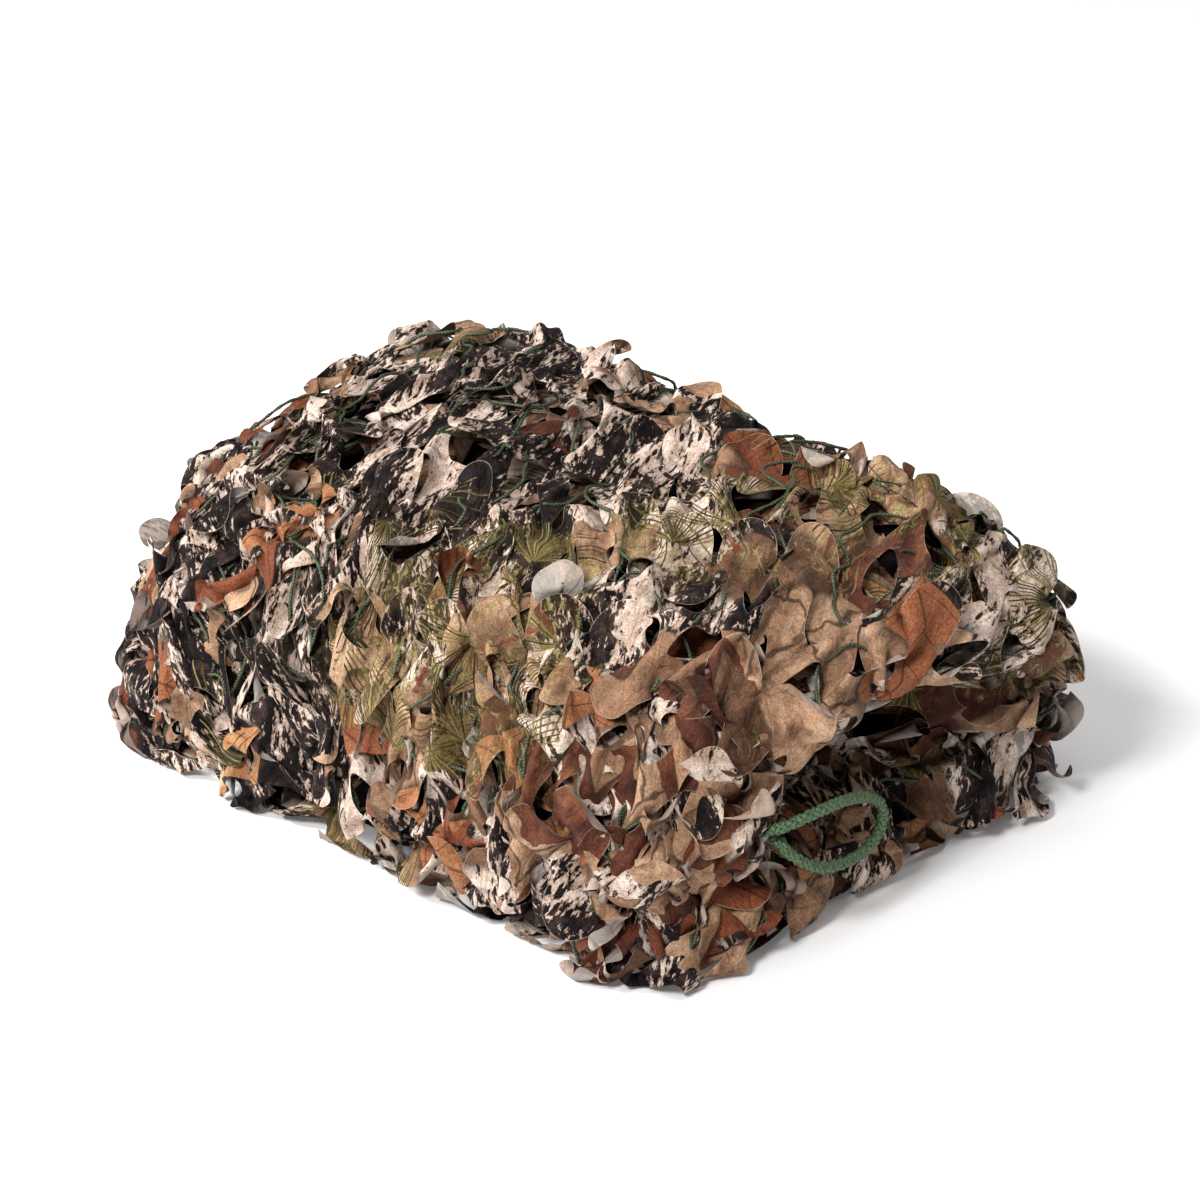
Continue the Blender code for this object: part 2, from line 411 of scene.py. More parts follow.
TONE_SCALE = 60  # mottling 17 mm apart, with detail down to the thread
PALE_BARK = [(0.32, "#927664"), (0.46, "#c0a796"), (0.60, "#e6d4c6")]
BROWN_BARK = [(0.4, "#4a352b"), (0.6, "#82644f")]
BLACK_BARK = [(0.36, "#060404"), (0.50, "#181112"), (0.62, "#3e302d")]

# A leaf's own shape, on a scale where half its length is 1.
LEAF_BOW = 0.16
LEAF_HALF_WIDTH = 0.55
LOBE_PACE, LOBE_SWEEP, LOBE_START = 8.5, -4.5, 0.9
LOBE_REST, LOBE_DEPTH = 0.78, 0.34
LEAF_EDGE = 0.025
LEAF_SHADE_WIDTH, LEAF_SHADE = 0.16, 0.75
LEAF_MOTTLING, LEAF_TONE_DROP = 1.1, 0.52
RIB_HALF_WIDTH = 0.014
SIDE_VEIN_PACE, SIDE_VEIN_SWEEP, SIDE_VEIN_HALF_WIDTH = 2.7, -1.9, 0.022
VEIN_MESH_SCALE, VEIN_MESH_WIDTH, VEIN_MESH_SHARE = 260, 0.07, 0.38  # a mesh of veins 4 mm apart
VEIN_BROWN = "#33201a"
LEAF_SHADE_BROWN = "#2a1f1b"
TAN_LEAF = [(0.1, "#553c2d"), (0.4, "#8c6850"), (0.7, "#bb9576"), (0.95, "#dab99b")]
RUST_LEAF = [(0.1, "#43231a"), (0.4, "#7d452e"), (0.7, "#9e6444"), (0.95, "#b98a5e")]

NEEDLE_HALF_WIDTH = (0.00060, 0.00030)  # needles about 1 mm wide, from clear to solid
NEEDLE_CURVE = 4.0  # radians for each metre from the twig's end
NEEDLE_WANDER, NEEDLE_WANDER_SCALE = 0.14, 45  # radians, changing every 22 mm
NEEDLES_LEFT = 0.80  # the share of a fan's needles that are there
NEEDLE_SHORTEST, NEEDLE_SPREAD = 0.5, 0.6  # of a fan's length
FIRST_NEEDLE = 100.0  # so that no needle's number is below 0
FAN_COSINE = 0.2  # of the 78 degrees that a fan opens to each side
NEEDLE_GREENS = [(0.1, "#2b2517"), (0.4, "#514626"), (0.7, "#7a6c40"), (0.95, "#ab9c6c"), (1.0, "#6b3c2a")]


def bark(tree, cloth, dark_share):
    """Bark whose pale ridges break up into brown and near-black flecks and dashes along the trunk."""
    lean = (0, 0, BARK_LEAN)
    trunk = add(tree, "Mapping", {"Vector": cloth, "Rotation": lean, "Scale": (1, FLECK_STRETCH, 1)})
    fleck = add(tree, "TexNoise", {"Vector": trunk, "Scale": FLECK_SCALE, "Detail": 4, "Roughness": 0.68})
    furrow = add(tree, "Mapping", {"Vector": cloth, "Rotation": lean, "Scale": (1, FURROW_STRETCH, 1)})
    rough = {"Detail": 4, "Roughness": 0.7, "Distortion": 0.4}
    furrow = add(tree, "TexNoise", {"Vector": furrow, "Scale": FURROW_SCALE, **rough})
    patch = add(tree, "TexNoise", {"Vector": trunk, "Scale": PATCH_SCALE, "Detail": 2, "Roughness": 0.5})
    level = add(tree, "Math", {0: furrow, 1: FURROW_WEIGHT, 2: fleck}, operation="MULTIPLY_ADD")
    level = add(tree, "Math", {0: patch, 1: PATCH_WEIGHT, 2: level}, operation="MULTIPLY_ADD")
    level = add(tree, "Math", {0: level, 1: dark_share - LEVEL_DROP}, operation="ADD")
    dash = {"Vector": trunk, "Scale": DASH_SCALE, "Randomness": 1.0}
    dash = add(tree, "TexVoronoi", dash, voronoi_dimensions="2D").node
    dashed = add(tree, "SeparateColor", {"Color": dash.outputs["Color"]})
    crowd = add(tree, "Math", {0: patch, 1: DASH_CROWDING, 2: DASH_START}, operation="MULTIPLY_ADD")
    dashed = add(tree, "Math", {0: dashed, 1: crowd}, operation="LESS_THAN")
    rim = {"From Min": DASH_EDGE[0], "From Max": DASH_EDGE[1]}
    dash = add(tree, "MapRange", {"Value": dash.outputs["Distance"], **rim})
    dash = add(tree, "Math", {0: dash, 1: dashed}, operation="MULTIPLY")
    black = add(tree, "MapRange", {"Value": level, "From Min": BLACK_FROM, "From Max": BLACK_FULL})
    black = add(tree, "Math", {0: black, 1: dash}, operation="MAXIMUM")
    brown = add(tree, "MapRange", {"Value": level, "From Min": BROWN_FROM, "From Max": BROWN_FULL})
    tone = add(tree, "TexNoise", {"Vector": cloth, "Scale": TONE_SCALE, "Detail": 9, "Roughness": 0.76})
    pale = add(tree, "ValToRGB", {"Fac": tone}, PALE_BARK)
    umber = add(tree, "ValToRGB", {"Fac": tone}, BROWN_BARK)
    dark = add(tree, "ValToRGB", {"Fac": tone}, BLACK_BARK)
    pale = add(tree, "Mix", {"Factor": brown, "A": pale, "B": umber}, data_type="RGBA")
    return add(tree, "Mix", {"Factor": black, "A": pale, "B": dark}, data_type="RGBA")


def scattered(tree, cloth, per_metre, looseness, shift):
    """The way from the middle of each of the scattered motifs, and the motif's own random colour."""
    shifted = add(tree, "Mapping", {"Vector": cloth, "Location": shift})
    cell = {"Vector": shifted, "Scale": per_metre, "Randomness": looseness}
    cell = add(tree, "TexVoronoi", cell, voronoi_dimensions="2D").node
    chance = add(tree, "SeparateColor", {"Color": cell.outputs["Color"]}).node
    away = add(tree, "VectorMath", {0: shifted, 1: cell.outputs["Position"]}, operation="SUBTRACT")
    return away, chance


def leaf_layer(tree, cloth, under, per_metre, length, share, seed, tones, vein_strength):
    """Lobed leaves of one length, scattered over what is printed under them, each with its veins."""
    away, chance = scattered(tree, cloth, per_metre, 0.85, (seed * 0.37, seed * 0.73, 0))
    turn = add(tree, "Math", {0: chance.outputs["Red"], 1: 2 * math.pi}, operation="MULTIPLY")
    own = add(tree, "VectorRotate", {"Vector": away, "Angle": turn}, rotation_type="Z_AXIS")
    own = add(tree, "VectorMath", {0: own, "Scale": 2 / length}, operation="SCALE")
    part = add(tree, "SeparateXYZ", {"Vector": own}).node
    x = part.outputs["X"]
    bend = add(tree, "Math", {0: x, 1: x}, operation="MULTIPLY")
    spine = add(tree, "Math", {0: bend, 1: LEAF_BOW, 2: part.outputs["Y"]}, operation="MULTIPLY_ADD")
    y = add(tree, "Math", {0: spine}, operation="ABSOLUTE")
    taper = add(tree, "Math", {0: 1.0, 1: bend}, operation="SUBTRACT")
    back = add(tree, "Math", {0: y, 1: LOBE_SWEEP, 2: LOBE_START}, operation="MULTIPLY_ADD")
    phase = add(tree, "Math", {0: x, 1: LOBE_PACE, 2: back}, operation="MULTIPLY_ADD")
    lobes = add(tree, "Math", {0: phase}, operation="SINE")
    lobes = add(tree, "Math", {0: lobes, 1: LOBE_DEPTH, 2: LOBE_REST}, operation="MULTIPLY_ADD")
    half = add(tree, "Math", {0: taper, 1: lobes}, operation="MULTIPLY")
    half = add(tree, "Math", {0: half, 1: LEAF_HALF_WIDTH}, operation="MULTIPLY")
    within = add(tree, "Math", {0: half, 1: y}, operation="SUBTRACT")
    present = add(tree, "Math", {0: chance.outputs["Green"], 1: share}, operation="LESS_THAN")
    mask = add(tree, "MapRange", {"Value": within, "From Min": 0.0, "From Max": LEAF_EDGE})
    mask = add(tree, "Math", {0: mask, 1: present}, operation="MULTIPLY")
    shade = {"From Min": -LEAF_SHADE_WIDTH, "From Max": 0.0, "To Max": LEAF_SHADE}
    shade = add(tree, "MapRange", {"Value": within, **shade})
    shade = add(tree, "Math", {0: shade, 1: present}, operation="MULTIPLY")
    rib = add(tree, "Math", {0: y, 1: RIB_HALF_WIDTH}, operation="LESS_THAN")
    side = add(tree, "Math", {0: y, 1: SIDE_VEIN_SWEEP}, operation="MULTIPLY")
    side = add(tree, "Math", {0: x, 1: SIDE_VEIN_PACE, 2: side}, operation="MULTIPLY_ADD")
    side = add(tree, "Math", {0: side, 1: 0.5}, operation="PINGPONG")
    side = add(tree, "Math", {0: side, 1: SIDE_VEIN_HALF_WIDTH}, operation="LESS_THAN")
    vein = add(tree, "Math", {0: rib, 1: side}, operation="MAXIMUM")
    wash = add(tree, "TexNoise", {"Vector": cloth, "Scale": TONE_SCALE, "Detail": 9, "Roughness": 0.78})
    tone = {0: wash, 1: LEAF_MOTTLING, 2: chance.outputs["Blue"]}
    tone = add(tree, "Math", tone, operation="MULTIPLY_ADD")
    tone = add(tree, "Math", {0: tone, 1: LEAF_TONE_DROP}, operation="SUBTRACT")
    fine = add(tree, "TexVoronoi", {"Vector": cloth, "Scale": VEIN_MESH_SCALE}, **CELL_EDGES)
    fine = add(tree, "Math", {0: fine, 1: VEIN_MESH_WIDTH}, operation="LESS_THAN")
    fine = add(tree, "Math", {0: fine, 1: VEIN_MESH_SHARE}, operation="MULTIPLY")
    vein = add(tree, "Math", {0: vein, 1: fine}, operation="MAXIMUM")
    body = add(tree, "ValToRGB", {"Fac": tone}, tones)
    veined = add(tree, "Math", {0: vein, 1: vein_strength}, operation="MULTIPLY")
    body = add(tree, "Mix", {"Factor": veined, "A": body, "B": colour(VEIN_BROWN)}, data_type="RGBA")
    ground = {"Factor": shade, "A": under, "B": colour(LEAF_SHADE_BROWN)}
    ground = add(tree, "Mix", ground, data_type="RGBA")
    return add(tree, "Mix", {"Factor": mask, "A": ground, "B": body}, data_type="RGBA")


def needle_layer(tree, cloth, under, per_metre, length, count, share, seed):
    """Fans of thin needles that spread and curve from scattered twig ends."""
    away, chance = scattered(tree, cloth, per_metre, 0.7, (seed * 0.41, seed * 0.29, 0))
    far = add(tree, "VectorMath", {0: away}, operation="LENGTH").node.outputs["Value"]
    part = add(tree, "SeparateXYZ", {"Vector": away}).node
    turn = add(tree, "Math", {0: part.outputs["Y"], 1: part.outputs["X"]}, operation="ARCTAN2")
    curve = add(tree, "Math", {0: far, 1: NEEDLE_CURVE, 2: turn}, operation="MULTIPLY_ADD")
    wander = add(tree, "TexNoise", {"Vector": cloth, "Scale": NEEDLE_WANDER_SCALE, "Detail": 1})
    curve = add(tree, "Math", {0: wander, 1: NEEDLE_WANDER, 2: curve}, operation="MULTIPLY_ADD")
    turns = {0: curve, 1: count / (2 * math.pi), 2: FIRST_NEEDLE}
    turns = add(tree, "Math", turns, operation="MULTIPLY_ADD")
    strand = add(tree, "Math", {0: turns}, operation="FLOOR")
    place = add(tree, "Math", {0: turns}, operation="FRACT")
    place = add(tree, "Math", {0: place, 1: 0.5}, operation="SUBTRACT")
    place = add(tree, "Math", {0: place}, operation="ABSOLUTE")
    across = add(tree, "Math", {0: place, 1: far}, operation="MULTIPLY")
    across = add(tree, "Math", {0: across, 1: 2 * math.pi / count}, operation="MULTIPLY")
    one = add(tree, "TexWhiteNoise", {"W": strand}, noise_dimensions="1D").node
    ends = {0: one.outputs["Value"], 1: length * NEEDLE_SPREAD, 2: length * NEEDLE_SHORTEST}
    ends = add(tree, "Math", ends, operation="MULTIPLY_ADD")
    width = {"From Min": NEEDLE_HALF_WIDTH[0], "From Max": NEEDLE_HALF_WIDTH[1]}
    thin = add(tree, "MapRange", {"Value": across, **width})
    gate = add(tree, "SeparateColor", {"Color": one.outputs["Color"]}).node.outputs["Green"]
    gate = add(tree, "Math", {0: gate, 1: NEEDLES_LEFT}, operation="LESS_THAN")
    ends = add(tree, "Math", {0: ends, 1: gate}, operation="MULTIPLY")
    short = add(tree, "Math", {0: far, 1: ends}, operation="LESS_THAN")
    facing = add(tree, "Math", {0: chance.outputs["Red"], 1: 2 * math.pi}, operation="MULTIPLY")
    facing = add(tree, "VectorRotate", {"Vector": away, "Angle": facing}, rotation_type="Z_AXIS")
    facing = add(tree, "SeparateXYZ", {"Vector": facing}).node.outputs["X"]
    facing = add(tree, "Math", {0: far, 1: -FAN_COSINE, 2: facing}, operation="MULTIPLY_ADD")
    facing = add(tree, "Math", {0: facing, 1: 0.0}, operation="GREATER_THAN")
    short = add(tree, "Math", {0: short, 1: facing}, operation="MULTIPLY")
    present = add(tree, "Math", {0: chance.outputs["Green"], 1: share}, operation="LESS_THAN")
    mask = add(tree, "Math", {0: thin, 1: short}, operation="MULTIPLY")
    mask = add(tree, "Math", {0: mask, 1: present}, operation="MULTIPLY")
    tone = add(tree, "ValToRGB", {"Fac": one.outputs["Color"]}, NEEDLE_GREENS)
    return add(tree, "Mix", {"Factor": mask, "A": under, "B": tone}, data_type="RGBA")


# The grounds under the leaves, and the grass and its stems. The flat cloth is bent by up to 25 mm for these,
# so that no line in them is straight.
BEND_SCALE, BEND_REACH = 22, 0.05  # bends 45 mm apart
REGION_SCALE = 17  # regions of one ground 60 mm across
BARK_PULL, BARK_START = 0.45, 0.20
RUSSET_BELOW, BARK_ABOVE, DARK_BARK_ABOVE = -0.02, 0.33, 0.58
GRAIN_SCALE = 34  # litter on the ground, 30 mm apart
TWIG_SCALE, TWIG_EDGE = 13, (0.022, 0.010)  # twigs 77 mm apart and 2 mm wide
STEM_SCALE, STEM_EDGE = 11, (0.022, 0.012)  # stems 90 mm apart and 3 mm wide
HAZE_SCALE, HAZE_EDGE, GRASS_WASH = 30, (0.44, 0.60), 0.26  # tufts of grass 33 mm apart
BLADE_SCALE, BLADE_STRETCH, BLADE_LEAN = 430, 0.045, 0.8  # blades 2 mm wide and 50 mm long
BLADE_EDGE = (0.53, 0.57)
THREAD_SCALE = 850  # slubs 1.2 mm apart in the weave
CREASE_SCALE, CREASE_STRETCH, CREASE_LEAN = 60, 0.55, 0.2  # creases 17 mm apart and 30 mm long
TWIG_STRENGTH = 0.75
NEEDLES_IN_BAND, NEEDLES_ANYWHERE = 0.95, 0.03
THREAD_LIGHT = {"From Min": 0.3, "From Max": 0.7, "To Min": 0.54, "To Max": 1.06}
SEALED_EDGE = {"From Min": 0.93, "From Max": 0.99, "To Max": 0.45}
PRINT_ON_REVERSE = 0.60
CREASE_WIDTH, CREASE_DEPTH, WEAVE_DEPTH = 0.14, 0.0011, 0.0003
TWIG_BROWN, GRASS_OLIVE, STEM_RED = "#241a16", "#7b6844", "#743a2b"
UNPRINTED, SEALED = "#d2c8bf", "#cdbba8"
LITTER = [(0.3, "#4f382b"), (0.45, "#86654e"), (0.56, "#b18d70"), (0.7, "#d1af91")]
RUSSET = [(0.35, "#301a15"), (0.5, "#5c3528"), (0.65, "#80503a")]
OLIVE = [(0.52, "#2f2a17"), (0.58, "#6e6337"), (0.64, "#a19560")]

printed_cloth = bpy.data.materials.new("printed_polyester")
printed_cloth.use_nodes = True
tree = printed_cloth.node_tree
shader = tree.nodes["Principled BSDF"]
cloth = add(tree, "UVMap", {}, uv_map="flat")
bent = add(tree, "TexNoise", {"Vector": cloth, "Scale": BEND_SCALE, "Detail": 3, "Roughness": 0.6}).node
bent = add(tree, "VectorMath", {0: bent.outputs["Color"], 1: (0.5, 0.5, 0.5)}, operation="SUBTRACT")
bent = add(tree, "VectorMath", {0: bent, "Scale": BEND_REACH}, operation="SCALE")
bent = add(tree, "VectorMath", {0: cloth, 1: bent}, operation="ADD")
region = {"Vector": bent, "Scale": REGION_SCALE, "Randomness": 1.0}
region = add(tree, "TexVoronoi", region, voronoi_dimensions="2D").node
kind = add(tree, "SeparateColor", {"Color": region.outputs["Color"]})
pale_bark = bark(tree, cloth, -0.01)
dark_bark = bark(tree, cloth, 0.105)
grain = add(tree, "TexNoise", {"Vector": bent, "Scale": GRAIN_SCALE, "Detail": 8, "Roughness": 0.74})
ground = add(tree, "ValToRGB", {"Fac": grain}, LITTER)
twig = add(tree, "TexVoronoi", {"Vector": bent, "Scale": TWIG_SCALE}, **CELL_EDGES)
rim = {"From Min": TWIG_EDGE[0], "From Max": TWIG_EDGE[1], "To Max": TWIG_STRENGTH}
twig = add(tree, "MapRange", {"Value": twig, **rim})
ground = add(tree, "Mix", {"Factor": twig, "A": ground, "B": colour(TWIG_BROWN)}, data_type="RGBA")
russet = add(tree, "ValToRGB", {"Fac": grain}, RUSSET)
wanted = add(tree, "Attribute", {}, attribute_name="bark_share").node.outputs["Fac"]
kind = add(tree, "Math", {0: wanted, 1: BARK_PULL, 2: kind}, operation="MULTIPLY_ADD")
kind = add(tree, "Math", {0: kind, 1: BARK_START}, operation="SUBTRACT")
to_bark = add(tree, "Math", {0: kind, 1: BARK_ABOVE}, operation="GREATER_THAN")
printed = add(tree, "Mix", {"Factor": to_bark, "A": ground, "B": pale_bark}, data_type="RGBA")
to_dark = add(tree, "Math", {0: kind, 1: DARK_BARK_ABOVE}, operation="GREATER_THAN")
printed = add(tree, "Mix", {"Factor": to_dark, "A": printed, "B": dark_bark}, data_type="RGBA")
to_russet = add(tree, "Math", {0: kind, 1: RUSSET_BELOW}, operation="LESS_THAN")
printed = add(tree, "Mix", {"Factor": to_russet, "A": printed, "B": russet}, data_type="RGBA")

# Two layers of leaves that thin out where bark is wanted: leaves per metre, their length, the share that is
# there with no bark, what bark takes of it, the seed, the tones and the strength of the veins.
for per_metre, length, share, lost, seed, tones, vein_strength in (
    (9, 0.105, 0.58, -0.45, 1, TAN_LEAF, 0.3),
    (8, 0.120, 0.70, -0.35, 2, RUST_LEAF, 0.65),
):
    share = add(tree, "Math", {0: wanted, 1: lost, 2: share}, operation="MULTIPLY_ADD")
    printed = leaf_layer(tree, cloth, printed, per_metre, length, share, seed, tones, vein_strength)

# Grass, stems and fans of needles in a band across the cloth.
needles = add(tree, "Attribute", {}, attribute_name="needle_share").node.outputs["Fac"]
haze = add(tree, "TexNoise", {"Vector": bent, "Scale": HAZE_SCALE, "Detail": 5, "Roughness": 0.7})
haze = add(tree, "MapRange", {"Value": haze, "From Min": HAZE_EDGE[0], "From Max": HAZE_EDGE[1]})
haze = add(tree, "Math", {0: haze, 1: needles}, operation="MULTIPLY")
wash = add(tree, "Math", {0: haze, 1: GRASS_WASH}, operation="MULTIPLY")
printed = add(tree, "Mix", {"Factor": wash, "A": printed, "B": colour(GRASS_OLIVE)}, data_type="RGBA")
blades = {"Rotation": (0, 0, BLADE_LEAN), "Scale": (1, BLADE_STRETCH, 1)}
blades = add(tree, "Mapping", {"Vector": bent, **blades})
blades = add(tree, "TexNoise", {"Vector": blades, "Scale": BLADE_SCALE, "Detail": 1})
blade = add(tree, "MapRange", {"Value": blades, "From Min": BLADE_EDGE[0], "From Max": BLADE_EDGE[1]})
blade = add(tree, "Math", {0: blade, 1: haze}, operation="MULTIPLY")
olive = add(tree, "ValToRGB", {"Fac": blades}, OLIVE)
printed = add(tree, "Mix", {"Factor": blade, "A": printed, "B": olive}, data_type="RGBA")
stem = add(tree, "TexVoronoi", {"Vector": bent, "Scale": STEM_SCALE}, **CELL_EDGES)
stem = add(tree, "MapRange", {"Value": stem, "From Min": STEM_EDGE[0], "From Max": STEM_EDGE[1]})
stem = add(tree, "Math", {0: stem, 1: haze}, operation="MULTIPLY")
printed = add(tree, "Mix", {"Factor": stem, "A": printed, "B": colour(STEM_RED)}, data_type="RGBA")
needles = {0: needles, 1: NEEDLES_IN_BAND, 2: NEEDLES_ANYWHERE}
needles = add(tree, "Math", needles, operation="MULTIPLY_ADD")
for per_metre, length, count, seed in ((9, 0.105, 112, 3), (11, 0.090, 84, 5), (13, 0.075, 64, 8)):
    printed = needle_layer(tree, cloth, printed, per_metre, length, count, needles, seed)

# Thread, the light cut edge, the pale reverse, and the creases and weave in relief.
thread = add(tree, "TexNoise", {"Vector": cloth, "Scale": THREAD_SCALE, "Detail": 2})
light = add(tree, "MapRange", {"Value": thread, **THREAD_LIGHT})
printed = add(tree, "VectorMath", {0: printed, "Scale": light}, operation="SCALE")
edge = add(tree, "Attribute", {}, attribute_name="cut_edge").node.outputs["Fac"]
edge = add(tree, "MapRange", {"Value": edge, **SEALED_EDGE})
printed = add(tree, "Mix", {"Factor": edge, "A": printed, "B": colour(SEALED)}, data_type="RGBA")
reverse = {"Factor": PRINT_ON_REVERSE, "A": colour(UNPRINTED), "B": printed}
reverse = add(tree, "Mix", reverse, data_type="RGBA")
behind = add(tree, "NewGeometry", {}).node.outputs["Backfacing"]
both = add(tree, "Mix", {"Factor": behind, "A": printed, "B": reverse}, data_type="RGBA")
tree.links.new(both, shader.inputs["Base Color"])
shader.inputs["Roughness"].default_value = 0.6
shader.inputs["Specular IOR Level"].default_value = 0.06
shader.inputs["Sheen Weight"].default_value = 0.02
shader.inputs["Sheen Roughness"].default_value = 0.5
crease = {"Rotation": (0, 0, CREASE_LEAN), "Scale": (1, CREASE_STRETCH, 1)}
crease = add(tree, "Mapping", {"Vector": cloth, **crease})
rough = {"Detail": 3, "Roughness": 0.55, "Distortion": 0.6}
crease = add(tree, "TexNoise", {"Vector": crease, "Scale": CREASE_SCALE, **rough})
crease = add(tree, "Math", {0: crease, 1: 0.5}, operation="SUBTRACT")
crease = add(tree, "Math", {0: crease}, operation="ABSOLUTE")
crease = add(tree, "MapRange", {"Value": crease, "From Min": 0.0, "From Max": CREASE_WIDTH})
creased = add(tree, "Bump", {"Height": crease, "Strength": 0.8, "Distance": CREASE_DEPTH})
woven = {"Height": thread, "Normal": creased, "Strength": 0.15, "Distance": WEAVE_DEPTH}
woven = add(tree, "Bump", woven)
tree.links.new(woven, shader.inputs["Normal"])

# A cell is one cut with the cloth round it, a lattice of quads that follows a round arch. Rows of cells point
# up and down by turns and are shifted by half a cell. A cell is sewn to the netting half-way up its sides.
CELL_ACROSS = 12  # quads
CELL_UP = 9
CELL_WIDTH = 0.050
CELL_LENGTH = 0.047
CELL_KINDS = 24
ARCH_LEFT, ARCH_RIGHT, ARCH_FOOT, ARCH_TOP = 3, 9, 2, 7
ARCH_HALF_WIDTH = (0.0145, 0.0200)
ARCH_TOP_HEIGHT = (0.0385, 0.0435)
ARCH_FOOT_HEIGHT = (0.0050, 0.0085)
ARCH_LEAN = (-0.003, 0.003)
ARCH_ROUNDNESS, ARCH_FLARE = 0.75, 0.22
EVENING_ROUNDS = 160
WAVES = 9
BUNCHED = 0.68  # the width that a sheet is gathered to, as a share of its own
SPREAD_WANDER, SPREAD_WANDER_PACE = 0.0075, 9  # metres out of line, waves in a metre

# A tongue bends out by its tilt, in degrees, or is tucked under, and its width curls.
TUCKED_SHARE, WIDEST_TILT = (0.62, 0.42), (60, 100)  # of the tongues that point up, and down
TUCKED_TILT, OPEN_TILT = (-70, -15), (5, 30)
BEND_AT_FOOT, BEND_TO_TIP = 0.5, 0.7
CURL = (0.0010, 0.0045)  # metres at the sides against the middle, mean and spread
CURL_LEVEL, CURL_FULL_AT = 0.3, 0.015

# A sheet bulges between the points where it is sewn down, and its slack settles as threads, bias and bending.
UNDULATIONS = ((0.0070, 11), (0.0040, 22), (0.0012, 45))  # metres high, waves in a metre
KNOT_SINK = 0.004
PLY_SINK, PLY_LIFT = 0.012, 0.021  # the most that a sheet dips below its own depth and stands out from it
THREAD_STIFFNESS, BIAS_STIFFNESS, BEND_STIFFNESS = 0.95, 0.9, 0.08
MOST_BATCHES = 40
SAG = 0.00003  # metres a round
ROUNDS = 180
SLOPE_STEP = 0.002

# Needles are printed in a band over the top, and bark mostly to the left, at the front and low down.
PRINT_WANDER, PRINT_WANDER_PACE = 0.03, 5
BAND_PLACE, BAND_WAY, BAND_HALF_WIDTH, BAND_FLOOR = (0.115, -0.03), (0.86, -0.51), 0.052, 0.085
BARK_MEAN, BARK_LEFTWARD, BARK_FORWARD, BARK_RANGE = 0.5, 1.6, 0.9, (0.20, 0.95)
BARK_LOST_TO_NEEDLES, BARK_LOW, LOW_UNDER = 0.3, 0.2, 0.12
BARK_WANDER, BARK_WANDER_PACE = 0.22, 6

arch = (
    [(ARCH_LEFT, j) for j in range(ARCH_FOOT, ARCH_TOP)]
    + [(i, ARCH_TOP) for i in range(ARCH_LEFT, ARCH_RIGHT + 1)]
    + [(ARCH_RIGHT, j) for j in range(ARCH_TOP - 1, ARCH_FOOT - 1, -1)]
)
cut = set(arch[1:-1])


def arched_cell(scale, half_width, top, foot, lean):
    """One cell's lattice, bent so that the cut follows a round arch."""
    cell = np.zeros((CELL_ACROSS + 1, CELL_UP + 1, 2))
    cell[..., 0] = np.linspace(0, CELL_WIDTH, CELL_ACROSS + 1)[:, None]
    cell[..., 1] = np.linspace(0, CELL_LENGTH, CELL_UP + 1)
    held = np.ones(cell.shape[:2], bool)
    held[1:-1, 1:-1] = False
    for k, (i, j) in enumerate(arch):
        turn = (k / (len(arch) - 1) * 2 - 1) * math.pi / 2
        rise = max(math.cos(turn), 0) ** ARCH_ROUNDNESS
        side = half_width * math.sin(turn) * (1 + ARCH_FLARE * abs(turn / math.pi * 2) ** 6)
        cell[i, j] = (CELL_WIDTH / 2 + side + lean * rise, foot + (top - foot) * rise)
        held[i, j] = True
    for _ in range(EVENING_ROUNDS):
        inner = (cell[2:, 1:-1] + cell[:-2, 1:-1] + cell[1:-1, 2:] + cell[1:-1, :-2]) / 4
        cell[1:-1, 1:-1] = np.where(held[1:-1, 1:-1, None], cell[1:-1, 1:-1], inner)
    return cell * scale


def waves(places, per_metre, seed):
    """A soft random value about 1 in size, which changes this many times in a metre."""
    rng = np.random.default_rng(seed)
    total = np.zeros(len(places))
    for _ in range(WAVES):
        turn, pace, start = rng.uniform(0, 2 * math.pi), rng.uniform(0.6, 1.5), rng.uniform(0, 7)
        line = places[:, 0] * math.cos(turn) + places[:, 1] * math.sin(turn)
        total += np.sin(line * per_metre * pace * 2 * math.pi + start)
    return total / math.sqrt(WAVES)


